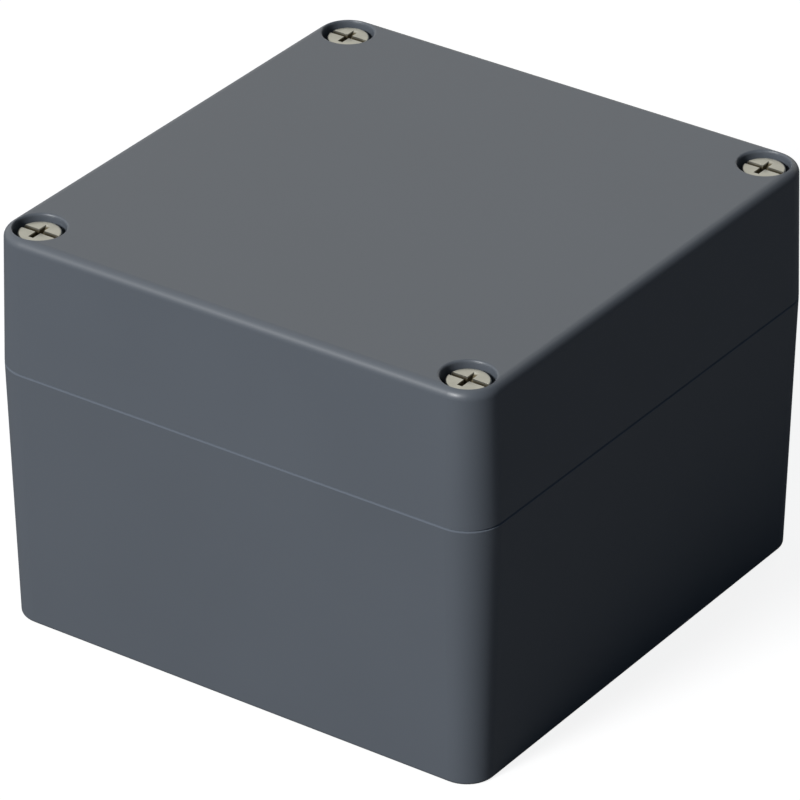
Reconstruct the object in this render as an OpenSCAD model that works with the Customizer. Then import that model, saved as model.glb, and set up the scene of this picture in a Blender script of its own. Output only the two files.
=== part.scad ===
// Die cast aluminium enclosure: a drafted base and a deep lid that meet on a
// tongue-and-groove seal, closed by four captive screws at the corners.
// The seal steps inwards round each corner, so the lid screws and the wall
// mounting holes lie outside the sealed space.
// Millimetres, +Z up. The origin is the centre of the base's underside.

/* [Body] */
// Length of the body along X, measured at the joint between base and lid
box_x = 120; // [105:1:160]
// Width of the body along Y, measured at the joint between base and lid
box_y = 122; // [110:1:160]
// Overall height, base and lid together
box_h = 90; // [75:1:110]
// Height of the lid above the joint
lid_h = 30.5; // [27:0.5:36]
// Draft angle of all cast walls, in degrees
draft = 1.5; // [0.5:0.25:2]
// Radius of the vertical corners at the joint
corner_r = 8; // [7:0.5:10]
// Rounding of the lid's upper edge
lid_edge_r = 2; // [0.8:0.1:2.6]
// Rounding of the base's lower edge
base_edge_r = 0.8; // [0.4:0.1:1.6]
// Chamfer that breaks the outer edges of base and lid at the joint
joint_edge = 0.25; // [0.1:0.05:0.4]
// Height of the shadow gap round the joint
shadow_gap = 0.2; // [0.1:0.05:0.4]
// Depth of the shadow gap, inwards from the joint's outline
shadow_deep = 1.1; // [0.5:0.1:1.2]

/* [Walls] */
// Thickness of the base's walls at the joint
base_wall = 4.2; // [3.9:0.1:5.5]
// Thickness of the base's floor
floor_t = 4; // [3:0.25:5]
// Thickness of the lid's top
lid_top_t = 4; // [3:0.25:5]
// Radius of the cavity's outer corners at the joint
cavity_r = 6; // [5.5:0.25:8]
// Radius at which the cavity turns round each screw column
notch_r = 3.5; // [3.1:0.1:5]
// Rounding where the cavity walls meet the floor and the lid's top
cavity_edge_r = 1.5; // [0.5:0.1:2.5]

/* [Seal] */
// Width of the tongue that stands on the base's rim
tongue_w = 2; // [1.6:0.1:2.2]
// Height of the tongue above the joint
tongue_h = 1.8; // [1.2:0.1:2.4]
// Distance from the cavity's edge to the tongue
tongue_land = 0.5; // [0.4:0.1:0.7]
// Clearance between the tongue and each side of the lid's groove
tongue_gap = 0.3; // [0.2:0.05:0.4]
// Thickness of the lid's wall inside the groove
lid_lip = 1.4; // [1.2:0.1:2.4]
// Thickness of the gasket as the closed lid holds it
gasket_t = 2; // [1.5:0.1:3]
// Clearance between the gasket and each side of the groove
gasket_gap = 0.1; // [0.05:0.05:0.2]

/* [Lid screws] */
// Distance from the screw's axis to the two outer faces at the joint
screw_inset = 8; // [7.5:0.25:9]
// Diameter of the screw head
head_d = 9; // [8:0.25:9.5]
// Height of the screw head
head_h = 3; // [2.6:0.1:3.4]
// Depth of the head's face below the lid's top
head_drop = 1.05; // [0.6:0.05:1.6]
// Rounding of the head's upper edge
head_edge_r = 0.5; // [0.2:0.05:0.8]
// Diameter of the counterbore round the head
counterbore_d = 11; // [10.6:0.1:11.4]
// Rounding of the counterbore's mouth
counterbore_rim_r = 0.5; // [0.3:0.05:0.6]
// Width of the driving slot, and of the cross recess's arms
slot_w = 1.25; // [1:0.05:1.5]
// Depth of the driving slot
slot_deep = 1.3; // [0.8:0.1:1.6]
// Length of the cross recess from tip to tip at the head's face
cross_l = 6; // [4.5:0.1:6.5]
// Length of the cross recess from tip to tip at its bottom
cross_bottom_l = 2.4; // [1.6:0.1:3]
// Depth of the cross recess
cross_deep = 2; // [1.5:0.1:2.2]
// Diameter of the screw's waist, between head and thread
waist_d = 3.9; // [3.4:0.1:4]
// Effective diameter of the thread that screw and base share
thread_d = 4.48; // [4.3:0.02:4.6]
// Running clearance of the thread, on the radius
thread_gap = 0.05; // [0.02:0.01:0.08]
// Length of thread held in the base when the lid is closed
thread_grip = 7.4; // [6:0.1:7.6]
// How far each screw backs out before its washer stops it
screw_travel = 8; // [7.8:0.1:9]
// Diameter of the screw's hole through the lid
screw_hole_d = 5.5; // [5.2:0.1:6]
// Depth of the screw's hole in the base
base_screw_deep = 14; // [11:0.5:20]
// Chamfer at the mouth of the screw's hole in the base
base_screw_chamfer = 0.6; // [0.3:0.1:0.9]

/* [Retaining washers] */
// Outer diameter of the washer that keeps the screw in the lid
keeper_d = 7.2; // [6.6:0.1:7.6]
// Thickness of the retaining washer
keeper_t = 1.2; // [0.8:0.1:1.6]
// Running clearance between the washer and the screw's waist, on the radius
keeper_gap = 0.08; // [0.04:0.01:0.1]
// Width of the slit through which the washer snaps on to the waist
keeper_slit = 1; // [0.6:0.1:1.6]
// Height of the washer's lower face above the joint
keeper_lift = 0.6; // [0.4:0.1:0.9]
// Clearance round the washer in its pocket, on the radius
keeper_pocket_gap = 0.6; // [0.4:0.1:0.8]
// Play left above the washer when the screw is fully backed out
keeper_stop_gap = 0.2; // [0.1:0.05:0.4]

/* [Wall mounting] */
// Distance along X from a lid screw to the mounting hole beside it
mount_step = 11; // [10.5:0.25:14]
// Diameter of the mounting hole
mount_hole_d = 5.8; // [4.3:0.1:6.4]
// Diameter of the well that takes the mounting screw's head
mount_well_d = 9; // [8.6:0.1:9.6]
// Thickness of metal under the mounting screw's head
mount_seat_t = 6; // [4:0.5:8]
// Width of metal between the well and the cavity
column_wall = 4.2; // [3.9:0.1:5.5]
// Depth of the cored hole in the lid above each well
lid_core_deep = 20; // [10:1:22]

/* [Fixing bosses] */
// Distance from the fixing bosses to the cavity's end walls, along X
boss_from_wall_x = 11.8; // [10:0.2:20]
// Distance from the fixing bosses to the cavity's side walls, along Y
boss_from_wall_y = 10.3; // [9:0.2:16]
// Height of the fixing bosses above the floor
boss_h = 8; // [5:0.5:12]
// Diameter of the fixing bosses at the top
boss_d = 8; // [7:0.2:10]
// Bore of the thread in the fixing bosses
boss_bore_d = 3.3; // [2.5:0.1:4.2]
// Depth of the thread in the fixing bosses
boss_bore_deep = 8; // [5:0.5:8.5]
// Side draft of bosses, as growth of radius per height
boss_slope = 0.06; // [0.02:0.01:0.12]

/* [Earth terminals] */
// Distance from the base's terminal to the cavity wall behind it
base_earth_from_wall = 10.8; // [9.5:0.2:14]
// Distance from the lid's terminal to the cavity wall behind it
lid_earth_from_wall = 11.6; // [10:0.2:14]
// Height of the terminal's boss in the base
base_earth_h = 9; // [6:0.5:14]
// Height of the terminal's boss in the lid
lid_earth_h = 7; // [5:0.5:10]
// Diameter of the terminal bosses at their face
earth_boss_d = 11; // [10:0.2:13]
// Diameter of the terminal screw
earth_screw_d = 4; // [3:0.5:4]
// Length of the terminal screw under its head
earth_screw_l = 9; // [8:0.5:10]
// Clearance of the terminal screw in its thread, on the radius
earth_gap = 0.04; // [0.02:0.01:0.08]
// Depth of the terminal screw's hole
earth_bore_deep = 9; // [8.5:0.5:10]
// Diameter of the terminal screw's head
earth_head_d = 8; // [7:0.2:8.6]
// Height of the terminal screw's head
earth_head_h = 2.7; // [2.2:0.1:3.2]
// Width of the driving slot in the terminal screw
earth_slot_w = 1.2; // [0.8:0.1:1.4]
// Depth of the driving slot in the terminal screw
earth_slot_deep = 1.3; // [0.8:0.1:1.6]
// Diameter of the plain washer
washer_d = 9.4; // [9:0.1:9.8]
// Thickness of the plain washer
washer_t = 0.8; // [0.5:0.1:1.2]
// Diameter of the toothed lock washer over its teeth
lock_washer_d = 8; // [7.4:0.1:8.4]
// Thickness of the toothed lock washer
lock_washer_t = 0.5; // [0.4:0.05:0.8]
// Number of teeth on the lock washer
lock_washer_teeth = 12; // [8:1:14]
// Depth of the gaps between the teeth
lock_washer_gap_deep = 0.9; // [0.5:0.1:1.1]
// Width of the gaps between the teeth
lock_washer_gap_w = 0.8; // [0.5:0.05:1]
// Clearance of both washers round the screw, on the radius
washer_gap = 0.15; // [0.1:0.05:0.3]

/* [Hidden] */

$fn = 64;

cast_grey = [0.36, 0.38, 0.41];
steel = [0.70, 0.70, 0.67];
plated = [0.78, 0.72, 0.52];
rubber = [0.10, 0.10, 0.10];
nylon = [0.90, 0.89, 0.84];

over = 1;
seam = 0.3;

// Heights
joint_z = box_h - lid_h;
ceiling_z = box_h - lid_top_t;
seat_z = box_h - head_drop - head_h;
tongue_z = joint_z + tongue_h;
keeper_z = joint_z + keeper_lift;
pocket_z = keeper_z + keeper_t + screw_travel + keeper_stop_gap;

// Corners of the body, as centres of its rounded corners
corner_x = box_x / 2 - corner_r;
corner_y = box_y / 2 - corner_r;

// Lid screws and mounting holes
screw_x = box_x / 2 - screw_inset;
screw_y = box_y / 2 - screw_inset;
mount_x = screw_x - mount_step;
mount_y = screw_y;
keeper_pocket_d = keeper_d + 2 * keeper_pocket_gap;

// Plan of the cavity at the joint: a cross, notched round the four columns
cavity_x = box_x / 2 - base_wall;
cavity_y = box_y / 2 - base_wall;
notch_x = mount_x - mount_well_d / 2 - column_wall;
notch_y = mount_y - mount_well_d / 2 - column_wall;

// Centres of the cavity's corners: the end arm, the side arm and the notch
arm_x = cavity_x - cavity_r;
arm_y = notch_y - cavity_r;
side_x = notch_x - cavity_r;
side_y = cavity_y - cavity_r;
turn_x = notch_x + notch_r;
turn_y = notch_y + notch_r;

// Offsets outwards from the line of those centres
groove_in = cavity_r + tongue_land - tongue_gap;
groove_w = tongue_w + 2 * tongue_gap;
lid_cavity_r = groove_in - lid_lip;

boss_x = cavity_x - boss_from_wall_x;
boss_y = notch_y - boss_from_wall_y;
base_earth_y = -(cavity_y - base_earth_from_wall);
lid_earth_y = cavity_y - lid_earth_from_wall;
base_earth_z = floor_t + base_earth_h;
lid_earth_z = ceiling_z - lid_earth_h;

// ---------------------------------------------------------------- tools

// Repeats its children in all four quadrants of the plan
module quadrants() {
    for (x = [0, 1], y = [0, 1])
        mirror([x, 0, 0]) mirror([0, y, 0]) children();
}

// Place of a lid screw's axis. The screws are counted from the corner at -X -Y
// towards +X and round
function screw_pos(i) = [
    (i == 1 || i == 2 ? 1 : -1) * screw_x,
    (i >= 2 ? 1 : -1) * screw_y, 0];

// Half-section of a cast wall: it leans in by the draft angle from its open end
// at height 0 to its closed end at height h, where an arc of radius edge rounds
// it off. reach is its distance from the line that the section is swept along,
// mouth chamfers it at its open end, and past carries a cutter on beyond that end.
module cast_section(reach, h, edge, mouth = 0, past = 0) {
    lean = tan(draft);
    arc_x = reach - lean * (h - edge) - edge / cos(draft);
    mouth_points = mouth > 0 ? [[reach - mouth, 0], [reach - lean * mouth, mouth]]
                             : [[reach, -past], [reach, 0]];
    polygon([
        [0, -past],
        each mouth_points,
        [arc_x + edge * cos(draft), h - edge + edge * sin(draft)],
        [arc_x, h - edge],
        [arc_x, h],
        [0, h]]);
    intersection() {
        translate([arc_x, h - edge]) circle(edge);
        translate([arc_x, h - edge]) square(edge + over);
    }
}

// Sweeps a half-section round a rectangle with rounded corners whose centres
// lie at x, y: straight along the sides, turned through 90 degrees at each corner
module round_rectangle(x, y) {
    quadrants() {
        translate([x, y, 0]) rotate_extrude(angle = 90) children();
        translate([x, y, 0]) rotate([90, 0, 0]) linear_extrude(y) children();
        translate([0, y, 0]) rotate([90, 0, 90]) linear_extrude(x) children();
    }
}

// Sweeps a half-section along the notched line of the cavity's corner centres:
// outwards round the arms' corners and back round the screw columns
module round_cavity() {
    quadrants() {
        // End of the arm along X, and its corner
        translate([arm_x, arm_y, 0]) rotate([90, 0, 0]) linear_extrude(arm_y) children();
        translate([arm_x, arm_y, 0]) rotate_extrude(angle = 90) children();
        // Side of that arm, up to the screw column
        translate([turn_x, arm_y, 0]) rotate([90, 0, 90]) linear_extrude(arm_x - turn_x) children();
        // Turn round the screw column
        translate([turn_x, turn_y, 0]) rotate([0, 0, 180]) rotate_extrude(angle = 90)
            translate([notch_r + cavity_r, 0]) mirror([1, 0]) children();
        // Side of the arm along Y, its corner and its end
        translate([side_x, side_y, 0]) rotate([90, 0, 0]) linear_extrude(side_y - turn_y) children();
        translate([side_x, side_y, 0]) rotate_extrude(angle = 90) children();
        translate([0, side_y, 0]) rotate([90, 0, 90]) linear_extrude(side_x) children();
    }
}

// Space inside the line that round_cavity() follows, from past its open end at
// height 0 to h. It runs over that line by seam, into the swept wall.
module cavity_core(h) {
    translate([0, 0, -over]) linear_extrude(h + over) {
        square([2 * (arm_x + seam), 2 * (arm_y + seam)], center = true);
        square([2 * (side_x + seam), 2 * (side_y + seam)], center = true);
    }
    quadrants()
        translate([turn_x, turn_y, 0]) rotate([0, 0, 180]) rotate_extrude(angle = 90)
            translate([notch_r + cavity_r - seam, -over])
                square([(notch_r + cavity_r) / 2 + seam, h + over]);
}

// Cavity that opens at height 0 and closes at height h
module cavity(reach, h) {
    round_cavity() cast_section(reach, h, cavity_edge_r, past = over);
    cavity_core(h);
}

// Outer form of half the enclosure, from the joint to its closed end
module shell(h, edge) {
    round_rectangle(corner_x, corner_y) cast_section(corner_r, h, edge, joint_edge);
    linear_extrude(h) square([2 * corner_x, 2 * corner_y], center = true);
}

// Cast boss that stands at height 0, widens towards its foot by boss_slope and
// is rooted in the wall under it by seam
module boss(d, h) {
    translate([0, 0, -seam])
        cylinder(h = h + seam, r1 = d / 2 + (h + seam) * boss_slope, r2 = d / 2);
}

// ---------------------------------------------------------------- castings

module base() {
    color(cast_grey) {
        difference() {
            union() {
                difference() {
                    translate([0, 0, joint_z]) mirror([0, 0, 1]) shell(joint_z, base_edge_r);
                    translate([0, 0, joint_z]) mirror([0, 0, 1])
                        cavity(cavity_r, joint_z - floor_t);
                }
                translate([0, 0, joint_z]) round_cavity()
                    translate([cavity_r + tongue_land, -seam]) square([tongue_w, tongue_h + seam]);
                quadrants()
                    translate([boss_x, boss_y, floor_t]) boss(boss_d, boss_h);
                translate([0, base_earth_y, floor_t]) boss(earth_boss_d, base_earth_h);
            }
            quadrants() {
                translate([screw_x, screw_y, joint_z]) mirror([0, 0, 1]) base_screw_hole();
                translate([mount_x, mount_y, 0]) mount_hole();
                translate([boss_x, boss_y, floor_t + boss_h - boss_bore_deep])
                    cylinder(h = boss_bore_deep + over, d = boss_bore_d);
            }
            translate([0, base_earth_y, base_earth_z - earth_bore_deep]) earth_hole();
        }
    }
}

// Threaded hole for a lid screw, measured down from the joint
module base_screw_hole() {
    hole_r = thread_d / 2;
    translate([0, 0, -over]) cylinder(h = base_screw_deep + over, r = hole_r);
    translate([0, 0, base_screw_deep]) cylinder(h = hole_r, r1 = hole_r, r2 = 0);
    cylinder(h = base_screw_chamfer, r1 = hole_r + base_screw_chamfer, r2 = hole_r);
}

// Stepped hole for a wall mounting screw: hole through the floor, well above it
module mount_hole() {
    translate([0, 0, -over]) cylinder(h = joint_z, d = mount_hole_d);
    translate([0, 0, mount_seat_t]) cylinder(h = joint_z, d = mount_well_d);
}

// Bore of an earth terminal's thread, open at the top
module earth_hole() {
    cylinder(h = earth_bore_deep + over, d = earth_screw_d);
}

module lid() {
    color(cast_grey) {
        difference() {
            union() {
                difference() {
                    translate([0, 0, joint_z]) shell(lid_h, lid_edge_r);
                    translate([0, 0, joint_z]) cavity(lid_cavity_r, lid_h - lid_top_t);
                }
                translate([0, lid_earth_y, ceiling_z]) mirror([0, 0, 1])
                    boss(earth_boss_d, lid_earth_h);
            }
            translate([0, 0, joint_z]) round_cavity()
                translate([groove_in, -over]) square([groove_w, tongue_h + gasket_t + over]);
            translate([0, 0, joint_z]) round_rectangle(corner_x, corner_y)
                translate([corner_r - shadow_deep, -over]) square([shadow_deep + over, shadow_gap + over]);
            quadrants() {
                translate([screw_x, screw_y, 0]) lid_screw_hole();
                translate([mount_x, mount_y, joint_z - over])
                    cylinder(h = lid_core_deep + over, d = mount_well_d);
            }
            translate([0, lid_earth_y, lid_earth_z + earth_bore_deep]) mirror([0, 0, 1])
                earth_hole();
        }
    }
}

// Everything a lid screw needs in the lid: the counterbore with its rounded
// mouth, the clearance hole and the pocket in which the washer rides
module lid_screw_hole() {
    bore_r = counterbore_d / 2;
    rim = counterbore_rim_r;
    rotate_extrude() {
        translate([0, seat_z]) square([bore_r, box_h - seat_z + over]);
        difference() {
            translate([bore_r - rim, box_h - rim]) square([2 * rim, rim + over]);
            translate([bore_r + rim, box_h - rim]) circle(rim);
        }
    }
    translate([0, 0, joint_z]) cylinder(h = lid_h, d = screw_hole_d);
    translate([0, 0, joint_z - over])
        cylinder(h = pocket_z - joint_z + over, d = keeper_pocket_d);
}

module gasket() {
    color(rubber)
        translate([0, 0, tongue_z]) round_cavity()
            translate([groove_in + gasket_gap, 0])
                square([groove_w - 2 * gasket_gap, gasket_t]);
}

// ---------------------------------------------------------------- fasteners

// Captive lid screw: head with a combined slot and cross recess, thin waist,
// and a short thread that only reaches the base
module lid_screw(i) {
    thread_r = thread_d / 2 - thread_gap;
    tip_z = joint_z - thread_grip;
    color(steel) translate(screw_pos(i)) difference() {
        rotate_extrude() {
            screw_head_section(seat_z, head_d / 2, head_h, head_edge_r);
            translate([0, keeper_z - over]) square([waist_d / 2, seat_z - keeper_z + 2 * over]);
            polygon([
                [0, tip_z],
                [thread_r - base_screw_chamfer, tip_z],
                [thread_r, tip_z + base_screw_chamfer],
                [thread_r, keeper_z],
                [0, keeper_z]]);
        }
        translate([0, 0, seat_z + head_h]) combination_recess();
    }
}

// Half-section of a flat-faced screw head with a rounded upper edge
module screw_head_section(z, r, h, edge) {
    translate([0, z]) square([r, h - edge]);
    translate([0, z]) square([r - edge, h]);
    translate([r - edge, z + h - edge]) circle(edge);
}

// Cross recess whose arms taper inwards, crossed by a slot right through the
// head, measured down from the head's face
module combination_recess() {
    translate([-head_d, -slot_w / 2, -slot_deep])
        cube([2 * head_d, slot_w, slot_deep + over]);
    for (a = [0, 90])
        rotate([90, 0, a]) translate([0, 0, -slot_w / 2]) linear_extrude(slot_w)
            polygon([
                [-cross_l / 2, over],
                [-cross_l / 2, 0],
                [-cross_bottom_l / 2, -cross_deep],
                [cross_bottom_l / 2, -cross_deep],
                [cross_l / 2, 0],
                [cross_l / 2, over]]);
}

// Split washer that rides on the screw's waist, above its thread, and meets the
// end of its pocket before the screw can leave the lid
module retaining_washer(i) {
    color(nylon) translate(screw_pos(i)) translate([0, 0, keeper_z]) difference() {
        cylinder(h = keeper_t, d = keeper_d);
        translate([0, 0, -over])
            cylinder(h = keeper_t + 2 * over, r = waist_d / 2 + keeper_gap);
        translate([0, -keeper_slit / 2, -over])
            cube([keeper_d, keeper_slit, keeper_t + 2 * over]);
    }
}

// Stack of an earth terminal, upwards from the face of its boss:
// plain washer, toothed lock washer, slotted screw
module earth_washer() {
    color(plated) difference() {
        cylinder(h = washer_t, d = washer_d);
        translate([0, 0, -over])
            cylinder(h = washer_t + 2 * over, r = earth_screw_d / 2 + washer_gap);
    }
}

module earth_lock_washer() {
    color(plated) translate([0, 0, washer_t]) difference() {
        cylinder(h = lock_washer_t, d = lock_washer_d);
        translate([0, 0, -over])
            cylinder(h = lock_washer_t + 2 * over, r = earth_screw_d / 2 + washer_gap);
        for (i = [0 : lock_washer_teeth - 1])
            rotate([0, 0, i * 360 / lock_washer_teeth])
                translate([lock_washer_d / 2 - lock_washer_gap_deep, -lock_washer_gap_w / 2, -over])
                    cube([lock_washer_d, lock_washer_gap_w, lock_washer_t + 2 * over]);
    }
}

module earth_screw() {
    head_z = washer_t + lock_washer_t;
    color(plated) difference() {
        rotate_extrude() {
            screw_head_section(head_z, earth_head_d / 2, earth_head_h, head_edge_r);
            translate([0, head_z - earth_screw_l])
                square([earth_screw_d / 2 - earth_gap, earth_screw_l + over]);
        }
        translate([-earth_head_d, -earth_slot_w / 2, head_z + earth_head_h - earth_slot_deep])
            cube([2 * earth_head_d, earth_slot_w, earth_slot_deep + over]);
    }
}

// The two terminals: upright on the base's boss, hanging from the lid's
module on_base_earth() {
    translate([0, base_earth_y, base_earth_z]) children();
}

module on_lid_earth() {
    translate([0, lid_earth_y, lid_earth_z]) mirror([0, 0, 1]) children();
}

base();
lid();
gasket();
lid_screw(0);  // lid_screw_1
lid_screw(1);  // lid_screw_2
lid_screw(2);  // lid_screw_3
lid_screw(3);  // lid_screw_4
retaining_washer(0);  // retaining_washer_1
retaining_washer(1);  // retaining_washer_2
retaining_washer(2);  // retaining_washer_3
retaining_washer(3);  // retaining_washer_4
on_base_earth() earth_screw();  // base_earth_screw
on_base_earth() earth_lock_washer();  // base_earth_lock_washer
on_base_earth() earth_washer();  // base_earth_washer
on_lid_earth() earth_screw();  // lid_earth_screw
on_lid_earth() earth_lock_washer();  // lid_earth_lock_washer
on_lid_earth() earth_washer();  // lid_earth_washer
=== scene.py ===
"""Finish, fasteners and studio for a die cast aluminium enclosure.

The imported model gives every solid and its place. This script adds what a maker
would do after casting: the powder coat outside and the bare metal inside, the
rubber, nylon, steel and zinc finishes, the turned screws with their rolled
threads, and a plain studio. Lengths are metres and +Z is up.
"""

import math

import bmesh
import bpy
import numpy as np
from bpy.props import FloatProperty, FloatVectorProperty, PointerProperty
from mathutils import Matrix, Vector


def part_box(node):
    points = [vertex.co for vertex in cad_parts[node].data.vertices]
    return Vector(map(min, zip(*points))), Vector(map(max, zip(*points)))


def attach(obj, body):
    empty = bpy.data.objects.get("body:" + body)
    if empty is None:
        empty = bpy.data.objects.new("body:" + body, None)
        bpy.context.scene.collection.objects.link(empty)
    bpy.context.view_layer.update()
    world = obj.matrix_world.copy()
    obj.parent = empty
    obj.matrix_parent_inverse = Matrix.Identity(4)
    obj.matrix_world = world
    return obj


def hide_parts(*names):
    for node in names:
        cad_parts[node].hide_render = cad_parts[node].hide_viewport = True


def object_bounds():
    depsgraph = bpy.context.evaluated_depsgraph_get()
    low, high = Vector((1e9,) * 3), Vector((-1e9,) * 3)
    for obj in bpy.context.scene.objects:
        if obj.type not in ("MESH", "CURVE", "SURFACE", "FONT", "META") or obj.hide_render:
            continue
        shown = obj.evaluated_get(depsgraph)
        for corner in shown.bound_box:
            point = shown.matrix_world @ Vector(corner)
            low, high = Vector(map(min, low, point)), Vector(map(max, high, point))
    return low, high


bl_info = {
    "name": "Die Cast Enclosure",
    "version": (1, 0, 0),
    "blender": (4, 5, 0),
    "location": "View3D > Sidebar > Enclosure",
    "description": "Dresses a die cast aluminium enclosure and lights it",
    "category": "Object",
}

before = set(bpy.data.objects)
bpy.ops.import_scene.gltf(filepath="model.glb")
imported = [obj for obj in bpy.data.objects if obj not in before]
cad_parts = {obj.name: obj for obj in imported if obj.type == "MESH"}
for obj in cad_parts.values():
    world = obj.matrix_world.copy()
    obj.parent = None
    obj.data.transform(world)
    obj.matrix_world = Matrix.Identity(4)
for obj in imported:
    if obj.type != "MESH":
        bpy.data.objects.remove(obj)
CAD_LOW, CAD_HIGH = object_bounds()

MM = 0.001
CASTINGS = ("base", "lid")
LID_SCREWS = tuple(f"lid_screw_{i}" for i in range(1, 5))
RETAINING_WASHERS = tuple(f"retaining_washer_{i}" for i in range(1, 5))
EARTH_SCREWS = ("base_earth_screw", "lid_earth_screw")
EARTH_WASHERS = ("base_earth_washer", "lid_earth_washer")
EARTH_LOCK_WASHERS = ("base_earth_lock_washer", "lid_earth_lock_washer")


# ------------------------------------------------------------------ places

def node_centre(node):
    """Middle of a node's box at rest."""
    low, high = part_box(node)
    return (Vector(low) + Vector(high)) / 2


def node_bottom(node):
    """Height of a node's lowest point."""
    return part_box(node)[0][2]


def node_top(node):
    """Height of a node's highest point."""
    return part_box(node)[1][2]


# Where base and lid meet, the lid screws' axes and ends, where their threads end
# and where the kept part of the CAD screws starts
JOINT_Z = node_bottom("lid")
SCREW_X = abs(node_centre("lid_screw_1").x)
SCREW_Y = abs(node_centre("lid_screw_1").y)
SCREW_TIP_Z = node_bottom("lid_screw_1")
SCREW_FACE_Z = node_top("lid_screw_1")
THREAD_END_Z = node_bottom("retaining_washer_1")
HEAD_START_Z = THREAD_END_Z + 0.2 * MM

# Ejector pins in one quarter of a casting's floor
EJECTOR_PINS = ((20 * MM, 18 * MM), (46 * MM, 14 * MM))

# Width over which one finish or mark gives way to the next
FADE = 0.1 * MM

# Points of a mesh closer than this are one point
WELD = 1e-7

# The middle of the box, the directions from there to the lamps, and the point
# the camera looks at
MIDDLE = Vector((0, 0, (CAD_LOW[2] + CAD_HIGH[2]) / 2))
KEY_SIDE = (-0.147, -0.832, 0.534)
LEFT_SIDE = (-0.96, 0.1, 0.2)
BACK_SIDE = (-0.25, 0.94, 0.2)
CAMERA_TARGET = Vector((-3.11 * MM, 2.46 * MM, 40 * MM))


# ------------------------------------------------------------------ settings

def length(name, text, default):
    """A length property in metres."""
    return FloatProperty(name=name, description=text, default=default, unit="LENGTH",
                         precision=5)


def share(name, text, default):
    """A property between 0 and 1."""
    return FloatProperty(name=name, description=text, default=default, min=0, max=1,
                         subtype="FACTOR")


def colour(name, text, default):
    """A linear colour property."""
    return FloatVectorProperty(name=name, description=text, default=default, size=3,
                               min=0, max=1, subtype="COLOR")


class CoatSettings(bpy.types.PropertyGroup):
    """Powder coat on the outside of the castings, and their bare metal inside."""

    coat_colour: colour("Coat", "Colour of the powder coat", (0.1025, 0.117, 0.1375))
    coat_roughness: share("Coat roughness", "Roughness of the powder coat", 0.395)
    drift_size: length("Drift", "Width of the patches where the coat's shade drifts", 38 * MM)
    peel_size: length("Orange peel", "Width of one wave of the coat's surface", 1.6 * MM)
    peel_height: length("Peel height", "Height of those waves", 0.0035 * MM)
    grain_size: length("Grain", "Width of the coat's finest grain", 0.22 * MM)
    grain_height: length("Grain height", "Height of that grain", 0.0012 * MM)
    # The rim along the joint is matte, and its colour is lighter than the coat's: a painted
    # highlight in place of the gloss it gives up
    rim_height: length("Dull rim", "How far the coat is dull on either side of the joint",
                       0.3 * MM)
    rim_fade: length("Rim fade", "Half the width over which the dull rim ends", 0.03 * MM)
    rim_highlight_colour: colour("Rim", "Colour of the coat where it is dull", (0.138, 0.158, 0.188))
    coat_edge: length("Coat edge", "How far the coat reaches in over the joint's faces",
                      0.9 * MM)
    coat_fade: length("Coat fade", "Half the width over which the coat ends", 0.08 * MM)
    wander: length("Edge wander", "How far the coat's edge wanders in all", 0.5 * MM)
    wander_size: length("Wander size", "Width of one such wandering", 4 * MM)
    draft: FloatProperty(name="Draft", description="Lean of the cast walls",
                         default=math.radians(1.5), subtype="ANGLE")
    corner_radius: length("Corner radius", "Radius of the upright corners at the joint", 8 * MM)
    counterbore_depth: length("Counterbore depth",
                              "Depth to which the counterbores are coated", 4.3 * MM)
    counterbore_radius: length("Counterbore radius", "Radius within which they are coated",
                               6.3 * MM)
    metal_colour: colour("Bare metal", "Colour of the uncoated casting", (0.56, 0.57, 0.58))
    metal_roughness: share("Metal roughness", "Roughness of the uncoated casting", 0.5)
    metal_share: share("Metallic share", "How metallic the uncoated casting looks", 0.9)
    flow_size: length("Flow marks",
                      "Width of the marks that the metal leaves as it fills the die", 9 * MM)
    flow_draw: share("Flow draw", "Width of those marks over their height", 0.35)
    flow_height: length("Flow relief", "How far those marks stand out", 0.05 * MM)
    skin_size: length("Die skin", "Width of the grain that the die leaves", 0.45 * MM)
    skin_height: length("Skin height", "Height of that grain", 0.012 * MM)
    pin_radius: length("Ejector mark", "Radius of the ejector pins' marks", 3 * MM)
    pin_slope: length("Mark slope", "Width of those marks' sloping rim", 0.25 * MM)
    pin_height: length("Mark height", "Height of those marks", 0.06 * MM)
    tap_radius: length("Tapped radius", "Radius within which a screw hole is tapped", 2.3 * MM)
    tap_start: length("Tapped start", "Depth under the joint at which the thread is full",
                      0.6 * MM)
    tap_pitch: length("Tapped pitch", "Pitch of the tapped screw holes", 0.8 * MM)
    tap_height: length("Tapped height", "Depth of the tapped thread", 0.12 * MM)


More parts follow.
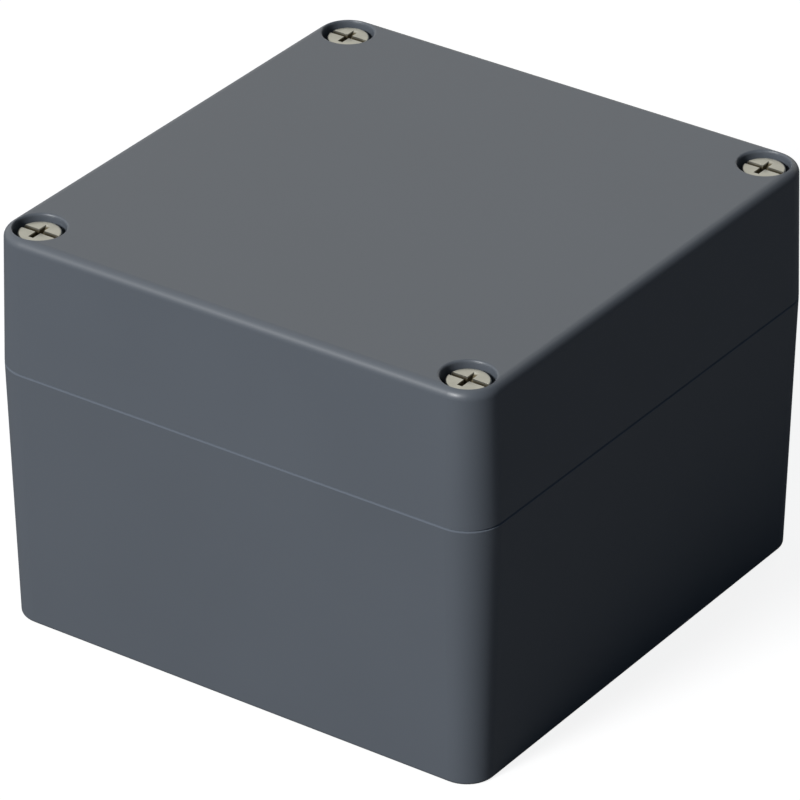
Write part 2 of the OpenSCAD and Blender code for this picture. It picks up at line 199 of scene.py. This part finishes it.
class FastenerSettings(bpy.types.PropertyGroup):
    """Turned screws, washers and the rubber seal."""

    steel_colour: colour("Steel", "Colour of the lid screws", (0.50, 0.50, 0.455))
    steel_roughness: share("Steel roughness", "Roughness of the lid screws", 0.34)
    lathe_pitch: length("Lathe rings", "Distance between the rings left by turning", 0.16 * MM)
    lathe_height: length("Ring height", "Height of those rings", 0.0006 * MM)
    scuff_height: length("Scuffs", "Height of the scuffs on the screws", 0.002 * MM)
    # The recess colour is painted shade, darker where the recess lies in shadow, and tinted
    # brown by forming residue
    recess_shade_colour: colour("Recess", "Colour inside the driving recess", (0.115, 0.10, 0.065))
    recess_dulling: share("Recess dulling", "How much rougher the recess is", 0.2)
    recess_radius: length("Recess radius", "Radius within which the recess is dull", 4.3 * MM)
    recess_top: length("Recess top", "Depth at which the recess turns dull", 0.05 * MM)
    recess_deep: length("Recess depth", "Depth from which it is fully dull", 0.5 * MM)
    recess_bottom: length("Recess bottom", "Depth below which nothing counts as recess",
                          2.4 * MM)
    zinc_colour: colour("Zinc", "Colour of the yellow passivated zinc", (0.60, 0.50, 0.27))
    zinc_roughness: share("Zinc roughness", "Roughness of the zinc plate", 0.36)
    zinc_grain: length("Zinc grain", "Height of the zinc plate's grain", 0.004 * MM)
    nylon_colour: colour("Nylon", "Colour of the retaining washers", (0.72, 0.70, 0.62))
    nylon_roughness: share("Nylon roughness", "Roughness of the retaining washers", 0.42)
    nylon_grain: length("Nylon grain", "Height of the nylon's moulded grain", 0.003 * MM)
    rubber_colour: colour("Rubber", "Colour of the seal", (0.022, 0.022, 0.023))
    rubber_roughness: share("Rubber roughness", "Roughness of the seal", 0.62)
    rubber_grain: length("Rubber grain", "Height of the seal's fine skin", 0.012 * MM)
    thread_pitch: length("Thread pitch", "Pitch of the lid screws", 0.8 * MM)
    thread_crest: length("Thread crest", "Outer radius of the thread", 2.225 * MM)
    thread_root: length("Thread root", "Inner radius of the thread", 1.93 * MM)
    waist_radius: length("Waist", "Radius of the screw between head and thread", 1.95 * MM)
    tip_chamfer: length("Tip chamfer", "Chamfer at the screw's end", 0.6 * MM)
    edge_break: length("Edge break", "Rounding of the screws' machined edges", 0.07 * MM)


class StudioSettings(bpy.types.PropertyGroup):
    """Camera, lights and floor."""

    azimuth: FloatProperty(name="Azimuth", description="Camera's turn round the box",
                           default=math.radians(35.19), subtype="ANGLE")
    elevation: FloatProperty(name="Elevation", description="Camera's height above the horizon",
                             default=math.radians(29.92), subtype="ANGLE")
    roll: FloatProperty(name="Roll", description="Camera's roll", default=math.radians(-0.12),
                        subtype="ANGLE")
    distance: length("Distance", "From the camera to its target", 1.2875)
    lens: FloatProperty(name="Lens", description="Focal length in millimetres", default=281.1)
    lamp_distance: length("Lamp distance", "From the box's middle to each lamp", 6.0)
    key_size: length("Key size", "Diameter of the key lamp", 1.5)
    key_level: FloatProperty(name="Key", description="Light on a face turned to the key",
                             default=1.0)
    fill_size: length("Fill size", "Diameter of the fill lamps", 3.0)
    back_level: FloatProperty(name="Back fill", default=0.35,
                              description="Light on a face turned to the fill from the back")
    left_level: FloatProperty(name="Left fill", default=0.12,
                              description="Light on a face turned to the fill from the left")
    sky_colour: colour("Sky", "Even light from all round", (0.0625, 0.081, 0.107))
    gloss_colour: colour("Backdrop in reflections", "Backdrop as glossy surfaces show it",
                         (0.85, 0.83, 0.77))
    gloss_dim: share("Dim side", "How bright that backdrop stays on the dim side", 0.2)
    gloss_turn: share("Dim turn", "Share of +X in a direction from which it is that dim", 0.45)
    floor_radius: length("Floor radius", "Radius of the floor", 6.0)
    floor_colour: colour("Floor", "Colour of the floor", (0.9, 0.9, 0.9))
    floor_seen: share("Floor seen", "Share of that colour which the camera sees", 0.25)
    floor_bounce: share("Floor bounce", "Share of light that the floor gives back", 0.15)
    floor_glow: share("Floor glow", "Light that lifts the floor to the backdrop's white", 0.87)


# ------------------------------------------------------------------ node maths

class Value:
    """A node socket that takes part in arithmetic. Each operator adds a Math node."""

    def __init__(self, book, socket):
        self.book = book
        self.socket = socket

    def _math(self, operation, *others):
        return self.book.node("ShaderNodeMath", {"operation": operation}, [self, *others])

    def __add__(self, other):
        return self._math("ADD", other)

    def __sub__(self, other):
        return self._math("SUBTRACT", other)

    def __mul__(self, other):
        return self._math("MULTIPLY", other)

    def __pow__(self, other):
        return self._math("POWER", other)

    def __abs__(self):
        return self._math("ABSOLUTE")

    __radd__ = __add__
    __rmul__ = __mul__

    def __rsub__(self, other):
        return self.book.node("ShaderNodeMath", {"operation": "SUBTRACT"}, [other, self])

    def least(self, other):
        """The smaller of two values."""
        return self._math("MINIMUM", other)

    def most(self, other):
        """The larger of two values."""
        return self._math("MAXIMUM", other)

    def sine(self):
        """Sine of an angle in radians."""
        return self._math("SINE")

    def angle(self, across):
        """Angle of the point whose height is this value and whose width is across."""
        return self._math("ARCTAN2", across)

    def ramp(self, low, high):
        """0 below low, 1 above high, and a smooth S between them."""
        settings = {"interpolation_type": "SMOOTHSTEP"}
        return self.book.node("ShaderNodeMapRange", settings,
                              {"Value": self, "From Min": low, "From Max": high})

    def inside(self, edge, fade):
        """1 up to edge, 0 from edge plus fade on, and a smooth S between them."""
        return 1.0 - self.ramp(edge, edge + fade)

    def about(self, middle, spread):
        """Noise between 0 and 1, turned into a value that strays from middle.

        It is middle where the noise is a half, and spread is its whole range.
        """
        return (self - 0.5) * spread + middle


def hypotenuse(a, b):
    """Distance from the origin to the point a, b."""
    return (a * a + b * b) ** 0.5


def find_socket(sockets, key):
    """The first of a node's sockets with this place, identifier or name."""
    return next(socket for place, socket in enumerate(sockets)
                if key in (place, socket.identifier, socket.name))


class NodeBook:
    """A node tree, written as expressions."""

    SURFACE_SOCKETS = {"colour": "Base Color", "roughness": "Roughness",
                       "metallic": "Metallic", "normal": "Normal",
                       "subsurface": "Subsurface Weight"}

    def __init__(self, tree):
        self.tree = tree
        tree.nodes.clear()

    def node(self, kind, settings=None, inputs=(), output=0):
        """Adds one node: settings first, then what feeds its sockets.

        Sockets go by place, identifier or name. A node that only takes, such as
        a material's output, gives None.
        """
        made = self.tree.nodes.new(kind)
        for key, value in (settings or {}).items():
            setattr(made, key, value)
        pairs = inputs.items() if isinstance(inputs, dict) else enumerate(inputs)
        for key, value in pairs:
            socket = find_socket(made.inputs, key)
            if isinstance(value, Value):
                self.tree.links.new(value.socket, socket)
            else:
                socket.default_value = value
        return Value(self, find_socket(made.outputs, output)) if made.outputs else None

    def place(self):
        """Object coordinates, as one vector and as x, y and z."""
        vector = self.node("ShaderNodeTexCoord", output="Object")
        split = [self.node("ShaderNodeSeparateXYZ", inputs=[vector], output=i) for i in range(3)]
        return vector, split

    def noise(self, vector, size, detail=2.0, roughness=0.5):
        """Noise between 0 and 1 whose blobs are about size metres wide."""
        return self.node("ShaderNodeTexNoise",
                         inputs={"Vector": vector, "Scale": 1 / size, "Detail": detail,
                                 "Roughness": roughness})

    def mix(self, factor, first, second):
        """Mixes two colours."""
        return self.node("ShaderNodeMix", {"data_type": "RGBA", "clamp_factor": True},
                         {"Factor_Float": factor, "A_Color": first, "B_Color": second},
                         output="Result_Color")

    def patches(self, noise, rgb, dark, light, low=0.3, high=0.7):
        """A colour at level dark where the noise is low, and at level light where high."""
        return self.mix(noise.ramp(low, high), tint(rgb, dark), tint(rgb, light))

    def bump(self, height):
        """Normal of a surface raised by height metres."""
        return self.node("ShaderNodeBump", inputs={"Strength": 1.0, "Distance": 1.0,
                                                   "Height": height})

    def surface(self, dull=None, **sockets):
        """The Principled shader and the material's output.

        dull holds a share and a colour: that share of the surface has no gloss.
        """
        named = {self.SURFACE_SOCKETS[key]: value for key, value in sockets.items()}
        shader = self.node("ShaderNodeBsdfPrincipled", inputs=named)
        if dull:
            dull_share, rgba = dull
            matte = self.node("ShaderNodeBsdfPrincipled",
                              inputs={"Base Color": rgba, "Roughness": 1.0,
                                      "Specular IOR Level": 0.0})
            shader = self.node("ShaderNodeMixShader", inputs=[dull_share, shader, matte])
        self.node("ShaderNodeOutputMaterial", inputs={"Surface": shader})


def tint(rgb, level=1.0):
    """An RGBA tuple, brightened or dimmed by one level or by one for each channel."""
    red, green, blue = np.array(rgb) * level
    return (red, green, blue, 1.0)


def new_material(name):
    """An empty node material and its book."""
    material = bpy.data.materials.new(name)
    material.use_nodes = True
    return material, NodeBook(material.node_tree)


# ------------------------------------------------------------------ materials

def skin_depth(s, x, y, z):
    """How deep a point lies under the enclosure's outer faces.

    The outline is a rectangle with rounded corners that shrinks with the draft
    above and below the joint. Its distance is that of the point past the corner
    centres, less the radius there. The top and the underside close it.
    """
    radius = s.corner_radius - abs(z - JOINT_Z) * math.tan(s.draft)
    past_x = abs(x) - (CAD_HIGH[0] - s.corner_radius)
    past_y = abs(y) - (CAD_HIGH[1] - s.corner_radius)
    outside = hypotenuse(past_x.most(0.0), past_y.most(0.0))
    inside = past_x.most(past_y).least(0.0)
    side = radius - outside - inside
    return side.least(CAD_HIGH[2] - z).least(z - CAD_LOW[2])


def from_screw_axis(x, y):
    """Distance of a point from the axis of the lid screw nearest to it."""
    return hypotenuse(abs(x) - SCREW_X, abs(y) - SCREW_Y)


def casting_material(s):
    """Satin powder coat outside, bare die cast metal inside.

    The coat is matte along the joint in a lighter colour, a painted highlight on the
    joint's edge; it ends a little way in over its faces and lines the counterbores.
    The bare metal shows flow marks, the ejector pins' marks and the tapped holes' threads.
    """
    material, book = new_material("powder_coated_casting")
    vector, (x, y, z) = book.place()

    depth = book.noise(vector, s.wander_size).about(skin_depth(s, x, y, z), s.wander)
    counterbore_floor = CAD_HIGH[2] - s.counterbore_depth
    in_counterbore = (from_screw_axis(x, y).inside(s.counterbore_radius, 2 * FADE)
                      * z.ramp(counterbore_floor - FADE, counterbore_floor))
    bare = (depth.ramp(s.coat_edge - s.coat_fade, s.coat_edge + s.coat_fade)
            * (1.0 - in_counterbore))
    coated = 1.0 - bare

    # Coat: broad orange peel, fine grain, a slight drift of shade, and a matte rim at the
    # joint whose lighter colour is a painted highlight
    peel = book.noise(vector, s.peel_size, detail=1.0) * s.peel_height
    grain = book.noise(vector, s.grain_size) * s.grain_height
    drift = book.noise(vector, s.drift_size)
    coat = book.patches(drift, s.coat_colour, dark=0.985, light=1.015)
    coat_rough = drift.about(s.coat_roughness, spread=0.04)
    # The matte rim along the joint, whose lighter colour paints a highlight on its lit side
    rim = abs(z - JOINT_Z).inside(s.rim_height - s.rim_fade, 2 * s.rim_fade)

    # Bare metal: cloudy flow marks drawn out upwards, and the die's fine skin
    drawn = book.node("ShaderNodeMapping",
                      inputs={"Vector": vector, "Scale": (1.0, 1.0, s.flow_draw)})
    flow = book.noise(drawn, s.flow_size, detail=5.0, roughness=0.62)
    skin = book.noise(vector, s.skin_size, detail=3.0, roughness=0.6)
    metal = book.patches(flow, s.metal_colour, dark=0.80, light=1.08, low=0.36, high=0.66)
    metal_rough = flow.about(s.metal_roughness, spread=0.3)
    cast = skin * s.skin_height + flow * s.flow_height + casting_marks(s, x, y, z)

    book.surface(colour=book.mix(bare, coat, metal),
                 metallic=bare * s.metal_share,
                 roughness=coat_rough * coated + metal_rough * bare,
                 normal=book.bump((peel + grain) * coated + cast * bare),
                 dull=(rim * coated, tint(s.rim_highlight_colour)))
    return material


def casting_marks(s, x, y, z):
    """Relief that the die and the tap leave inside the castings, as a height.

    Ejector marks are low discs, two in each quarter of the floor. A tapped
    hole's thread is a sine of the height less the angle round the hole's axis,
    so that one turn climbs one pitch.
    """
    discs = sum(hypotenuse(abs(x) - pin_x, abs(y) - pin_y).inside(s.pin_radius, s.pin_slope)
                for pin_x, pin_y in EJECTOR_PINS)
    turn = (y - SCREW_Y).angle(x - SCREW_X)
    turn_back = (y + SCREW_Y).angle(x + SCREW_X)
    in_hole = (from_screw_axis(x, y).inside(s.tap_radius, FADE)
               * z.inside(JOINT_Z - s.tap_start, FADE))
    wave = (z * (2 * math.pi / s.tap_pitch) - turn.least(turn_back)).sine()
    return discs * s.pin_height + wave * in_hole * (s.tap_height / 2)


def steel_material(f):
    """Satin stainless steel: lathe rings on the faces, and a rougher recess darkened with
    painted shade.
    """
    material, book = new_material("satin_stainless_steel")
    vector, (x, y, z) = book.place()
    from_axis = from_screw_axis(x, y)
    rings = (from_axis * (2 * math.pi / f.lathe_pitch)).sine()
    cloud = book.noise(vector, size=2.4 * MM, detail=3.0)
    scuffs = book.noise(vector, size=0.35 * MM)
    above_bottom = (z - (SCREW_FACE_Z - f.recess_bottom)).ramp(0.0, FADE)
    # Inside the recess the steel is rougher, and its colour darkens with painted shade
    recess_shade_and_dulling = ((SCREW_FACE_Z - z).ramp(f.recess_top, f.recess_deep)
            * from_axis.inside(f.recess_radius, FADE) * above_bottom)
    bright = book.patches(cloud, f.steel_colour, dark=0.93, light=1.05)
    book.surface(colour=book.mix(recess_shade_and_dulling, bright, tint(f.recess_shade_colour)),
                 metallic=1.0,
                 roughness=cloud.about(f.steel_roughness, spread=0.16) + recess_shade_and_dulling * f.recess_dulling,
                 normal=book.bump(rings * f.lathe_height + scuffs * f.scuff_height))
    return material


def zinc_material(f):
    """Yellow passivated zinc: a warm metal whose shade drifts in patches."""
    material, book = new_material("yellow_zinc_plate")
    vector, _ = book.place()
    patch = book.noise(vector, size=2.8 * MM, detail=3.0, roughness=0.6)
    grain = book.noise(vector, size=0.3 * MM)
    book.surface(colour=book.patches(patch, f.zinc_colour, dark=(0.98, 0.90, 0.72),
                                     light=(1.02, 1.06, 1.35)),
                 metallic=1.0,
                 roughness=patch.about(f.zinc_roughness, spread=0.2),
                 normal=book.bump(grain * f.zinc_grain))
    return material


def nylon_material(f):
    """Natural nylon: milky, softly shiny, with a faint moulded grain."""
    material, book = new_material("natural_nylon")
    vector, _ = book.place()
    cloud = book.noise(vector, size=1.8 * MM)
    grain = book.noise(vector, size=0.12 * MM)
    book.surface(colour=book.patches(cloud, f.nylon_colour, dark=0.95, light=1.04),
                 roughness=cloud.about(f.nylon_roughness, spread=0.1),
                 subsurface=0.08,
                 normal=book.bump(grain * f.nylon_grain))
    return material


def rubber_material(f):
    """Black seal rubber: matte, with a fine skin and a bloom of pale dust."""
    material, book = new_material("black_seal_rubber")
    vector, _ = book.place()
    skin = book.noise(vector, size=0.25 * MM, detail=3.0, roughness=0.65)
    bloom = book.noise(vector, size=5 * MM, detail=4.0, roughness=0.6)
    book.surface(colour=book.patches(bloom, f.rubber_colour, dark=1.0, light=2.2,
                                     low=0.45, high=0.8),
                 roughness=bloom.about(f.rubber_roughness, spread=0.2),
                 normal=book.bump(skin * f.rubber_grain))
    return material


def dress(nodes, material):
    """Gives CAD nodes one material."""
    for name in nodes:
        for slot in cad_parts[name].material_slots:
            slot.material = material


# ------------------------------------------------------------------ new pieces

def add_object(name, data):
    """Makes an object of mesh, lamp or camera data and links it to the scene."""
    made = bpy.data.objects.new(name, data)
    bpy.context.scene.collection.objects.link(made)
    return made


def threaded_shank(f, centre_x, centre_y):
    """Points and faces of the lid screw's threaded end, closed at both ends.

    The radius on a grid of angle and height is the root plus the thread's depth
    times a clipped triangle wave of height over pitch less angle over a turn.
    The wave runs out to the crest's radius under the waist, a chamfer narrows the
    tip, a neck stands up into the waist, and one row of zero radius closes each end.
    """
    around = 72
    per_turn = 20
    root_flat, flank_rise = 0.12, 0.72
    run_out = 0.4 * f.thread_pitch
    neck_radius = 0.9 * f.waist_radius
    neck_height = 1 * MM
    tall = THREAD_END_Z - SCREW_TIP_Z
    rows = int(per_turn * tall / f.thread_pitch)
    height = np.linspace(0.0, tall, rows)
    turn = np.arange(around) / around
    phase = height[:, None] / f.thread_pitch - turn[None, :]
    wave = 1.0 - 2.0 * np.abs((phase % 1.0) - 0.5)
    flank = np.clip((wave - root_flat) / flank_rise, 0.0, 1.0)
    radius = f.thread_root + (f.thread_crest - f.thread_root) * flank
    shoulder = np.clip((tall - height) / run_out, 0.0, 1.0)[:, None]
    radius = f.thread_crest * (1 - shoulder) + radius * shoulder
    cone = f.thread_crest - f.tip_chamfer + height[:, None]
    radius = np.minimum(radius, cone)
    neck = np.full((1, around), neck_radius)
    point = np.zeros((1, around))
    radius = np.vstack([point, radius, neck, neck, point])
    height = np.concatenate([[0.0], height, [tall, tall + neck_height, tall + neck_height]])
    angle = 2 * np.pi * turn
    x = centre_x + radius * np.cos(angle)
    y = centre_y + radius * np.sin(angle)
    z = np.broadcast_to((SCREW_TIP_Z + height)[:, None], radius.shape)
    points = np.stack([x, y, z], axis=-1).reshape(-1, 3)
    row = np.arange(radius.shape[0] - 1)[:, None] * around
    column = np.arange(around)[None, :]
    beside = (column + 1) % around
    faces = np.stack([row + column, row + beside,
                      row + around + beside, row + around + column], axis=-1).reshape(-1, 4)
    return points, faces


def turned_head(node):
    """A welded copy of the CAD screw above its thread, with its cut closed."""
    mesh = bmesh.new()
    mesh.from_mesh(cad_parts[node].data)
    bmesh.ops.remove_doubles(mesh, verts=mesh.verts, dist=WELD)
    everything = mesh.verts[:] + mesh.edges[:] + mesh.faces[:]
    bmesh.ops.bisect_plane(mesh, geom=everything, plane_co=(0, 0, HEAD_START_Z),
                           plane_no=(0, 0, 1), clear_inner=True)
    rim = [edge for edge in mesh.edges if edge.is_boundary]
    bmesh.ops.contextual_create(mesh, geom=rim)
    return mesh


def captive_head(node, f, material):
    """The head and waist of a lid screw, with its machined edges eased."""
    shape = turned_head(node)
    data = bpy.data.meshes.new(f"captive_{node}")
    shape.to_mesh(data)
    shape.free()
    data.materials.clear()
    data.materials.append(material)
    smooth(data)
    head = add_object(f"captive_{node}", data)
    ease = head.modifiers.new("eased_edges", "BEVEL")
    ease.width = f.edge_break
    ease.segments = 2
    ease.limit_method = "ANGLE"
    ease.angle_limit = math.radians(40)
    return head


def rolled_thread(node, f, material):
    """The threaded end of a lid screw."""
    centre = node_centre(node)
    points, faces = threaded_shank(f, centre.x, centre.y)
    data = bpy.data.meshes.new(f"thread_{node}")
    data.from_pydata(points.tolist(), [], faces.tolist())
    data.materials.append(material)
    close_poles(data)
    smooth(data)
    return add_object(f"thread_{node}", data)


def close_poles(data):
    """Merges the zero-radius rows of a swept mesh into its poles."""
    mesh = bmesh.new()
    mesh.from_mesh(data)
    bmesh.ops.remove_doubles(mesh, verts=mesh.verts, dist=WELD)
    bmesh.ops.recalc_face_normals(mesh, faces=mesh.faces)
    mesh.to_mesh(data)
    mesh.free()


def smooth(data, angle=math.radians(35)):
    """Smooth shading that keeps edges sharper than angle."""
    data.polygons.foreach_set("use_smooth", np.ones(len(data.polygons), dtype=bool))
    data.set_sharp_from_angle(angle=angle)


# ------------------------------------------------------------------ operators

class ENCLOSURE_OT_coat_castings(bpy.types.Operator):
    """Powder coats the base and the lid outside and leaves them bare inside."""

    bl_idname = "enclosure.coat_castings"
    bl_label = "Coat castings"

    def execute(self, context):
        dress(CASTINGS, casting_material(context.scene.enclosure_coat))
        return {"FINISHED"}


class ENCLOSURE_OT_fit_seal(bpy.types.Operator):
    """Gives the gasket its rubber."""

    bl_idname = "enclosure.fit_seal"
    bl_label = "Fit seal"

    def execute(self, context):
        dress(["gasket"], rubber_material(context.scene.enclosure_fasteners))
        return {"FINISHED"}


class ENCLOSURE_OT_turn_lid_screws(bpy.types.Operator):
    """Makes the captive lid screws with eased heads and rolled threads."""

    bl_idname = "enclosure.turn_lid_screws"
    bl_label = "Turn lid screws"

    def execute(self, context):
        settings = context.scene.enclosure_fasteners
        steel = steel_material(settings)
        for node in LID_SCREWS:
            head = captive_head(node, settings, steel)
            thread = rolled_thread(node, settings, steel)
            for piece in (head, thread):
                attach(piece, node)
            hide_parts(node)
        return {"FINISHED"}


class ENCLOSURE_OT_clip_retaining_washers(bpy.types.Operator):
    """Gives the retaining washers their nylon."""

    bl_idname = "enclosure.clip_retaining_washers"
    bl_label = "Clip retaining washers"

    def execute(self, context):
        dress(RETAINING_WASHERS, nylon_material(context.scene.enclosure_fasteners))
        return {"FINISHED"}


class ENCLOSURE_OT_plate_earth_terminals(bpy.types.Operator):
    """Plates the earth terminals' screws and washers in yellow zinc."""

    bl_idname = "enclosure.plate_earth_terminals"
    bl_label = "Plate earth terminals"

    def execute(self, context):
        zinc = zinc_material(context.scene.enclosure_fasteners)
        dress(EARTH_SCREWS + EARTH_WASHERS + EARTH_LOCK_WASHERS, zinc)
        return {"FINISHED"}


class ENCLOSURE_OT_build_studio(bpy.types.Operator):
    """Sets up the floor, the backdrop, the lights and the camera."""

    bl_idname = "enclosure.build_studio"
    bl_label = "Build studio"

    def execute(self, context):
        settings = context.scene.enclosure_studio
        studio_floor(settings)
        studio_world(settings)
        studio_lamp(settings, "key", KEY_SIDE, settings.key_size, settings.key_level)
        for name, side, level in (("left_fill", LEFT_SIDE, settings.left_level),
                                  ("back_fill", BACK_SIDE, settings.back_level)):
            fill = studio_lamp(settings, name, side, settings.fill_size, level)
            fill.visible_glossy = False
        studio_camera(settings)
        context.scene.view_settings.view_transform = "Standard"
        return {"FINISHED"}


def studio_lamp(s, name, side, size, level):
    """A round lamp that lights a face turned to it at the given level.

    At level 1 a white matte face there is as bright as white: a lamp's power is
    then pi squared times its distance squared.
    """
    light = bpy.data.lights.new(name, "AREA")
    light.shape = "DISK"
    light.size = size
    light.energy = level * (math.pi * s.lamp_distance) ** 2
    lamp = add_object(name, light)
    towards = Vector(side).normalized()
    lamp.location = MIDDLE + towards * s.lamp_distance
    lamp.rotation_mode = "QUATERNION"
    lamp.rotation_quaternion = towards.to_track_quat("Z", "Y")
    return lamp


def ray_kinds(book):
    """Two values: 1 for rays from the camera, and 1 for those from gloss or through glass."""
    camera, glossy, through = (book.node("ShaderNodeLightPath", output=name)
                               for name in ("Is Camera Ray", "Is Glossy Ray",
                                            "Is Transmission Ray"))
    return camera, glossy.most(through)


def studio_world(s):
    """White to the camera, and a weak even light on the object.

    Glossy surfaces show it in a colour of its own, and dimmer towards +X.
    """
    world = bpy.data.worlds.new("studio_backdrop")
    world.use_nodes = True
    bpy.context.scene.world = world
    book = NodeBook(world.node_tree)
    camera, glossy = ray_kinds(book)
    _, (across, _, _) = book.place()
    reflected = book.patches(across, s.gloss_colour, dark=1.0, light=s.gloss_dim,
                             low=0.0, high=s.gloss_turn)
    around = book.mix(glossy, tint(s.sky_colour), reflected)
    light = book.node("ShaderNodeBackground",
                      inputs={"Color": book.mix(camera, around, tint((1, 1, 1)))})
    book.node("ShaderNodeOutputWorld", inputs={"Surface": light})


def studio_floor(s):
    """A round pale floor that fades into the white backdrop but keeps the shadow.

    The camera sees a share of its colour and a glow that makes up the rest, and
    every other ray meets a darker floor without the glow.
    """
    count = 96
    angle = 2 * np.pi * np.arange(count) / count
    ring = np.stack([s.floor_radius * np.cos(angle), s.floor_radius * np.sin(angle),
                     np.full(count, CAD_LOW[2])], axis=-1)
    data = bpy.data.meshes.new("studio_floor")
    data.from_pydata(ring.tolist(), [], [list(range(count))])
    floor = add_object("studio_floor", data)
    material, book = new_material("pale_floor")
    camera, _ = ray_kinds(book)
    matte = book.node("ShaderNodeBsdfDiffuse",
                      inputs={"Color": book.mix(camera, tint((1, 1, 1), s.floor_bounce),
                                                tint(s.floor_colour, s.floor_seen))})
    glow = book.node("ShaderNodeEmission", inputs={"Strength": camera * s.floor_glow})
    both = book.node("ShaderNodeAddShader", inputs=[matte, glow])
    book.node("ShaderNodeOutputMaterial", inputs={"Surface": both})
    data.materials.append(material)


def studio_camera(s):
    """A long lens above the front corner, aimed near the middle."""
    turn, lift = s.azimuth, s.elevation
    back = Vector((math.sin(turn) * math.cos(lift), -math.cos(turn) * math.cos(lift),
                   math.sin(lift)))
    right = Vector((math.cos(turn), math.sin(turn), 0.0))
    up = back.cross(right)
    right, up = (right * math.cos(s.roll) + up * math.sin(s.roll),
                 up * math.cos(s.roll) - right * math.sin(s.roll))
    lens = bpy.data.cameras.new("studio_camera")
    lens.lens = s.lens
    lens.sensor_width = 36
    lens.clip_start = 0.05
    lens.clip_end = 20
    camera = add_object("studio_camera", lens)
    turned = Matrix((right, up, back)).transposed().to_4x4()
    camera.matrix_world = Matrix.Translation(CAMERA_TARGET + back * s.distance) @ turned
    bpy.context.scene.camera = camera


# ------------------------------------------------------------------ panel

OPERATORS = (
    ENCLOSURE_OT_coat_castings,
    ENCLOSURE_OT_fit_seal,
    ENCLOSURE_OT_turn_lid_screws,
    ENCLOSURE_OT_clip_retaining_washers,
    ENCLOSURE_OT_plate_earth_terminals,
    ENCLOSURE_OT_build_studio,
)


class ENCLOSURE_PT_panel(bpy.types.Panel):
    """Lists the enclosure's steps in order."""

    bl_idname = "ENCLOSURE_PT_panel"
    bl_label = "Enclosure"
    bl_space_type = "VIEW_3D"
    bl_region_type = "UI"
    bl_category = "Enclosure"

    def draw(self, context):
        for operator in OPERATORS:
            self.layout.operator(operator.bl_idname)


SETTINGS = {"enclosure_coat": CoatSettings, "enclosure_fasteners": FastenerSettings,
            "enclosure_studio": StudioSettings}
CLASSES = (*SETTINGS.values(), *OPERATORS, ENCLOSURE_PT_panel)


def register():
    for item in CLASSES:
        bpy.utils.register_class(item)
    for name, group in SETTINGS.items():
        setattr(bpy.types.Scene, name, PointerProperty(type=group))


def unregister():
    for name in SETTINGS:
        delattr(bpy.types.Scene, name)
    for item in reversed(CLASSES):
        bpy.utils.unregister_class(item)


def main():
    register()
    bpy.ops.enclosure.coat_castings()
    bpy.ops.enclosure.fit_seal()
    bpy.ops.enclosure.turn_lid_screws()
    bpy.ops.enclosure.clip_retaining_washers()
    bpy.ops.enclosure.plate_earth_terminals()
    bpy.ops.enclosure.build_studio()


if __name__ == "__main__":
    main()
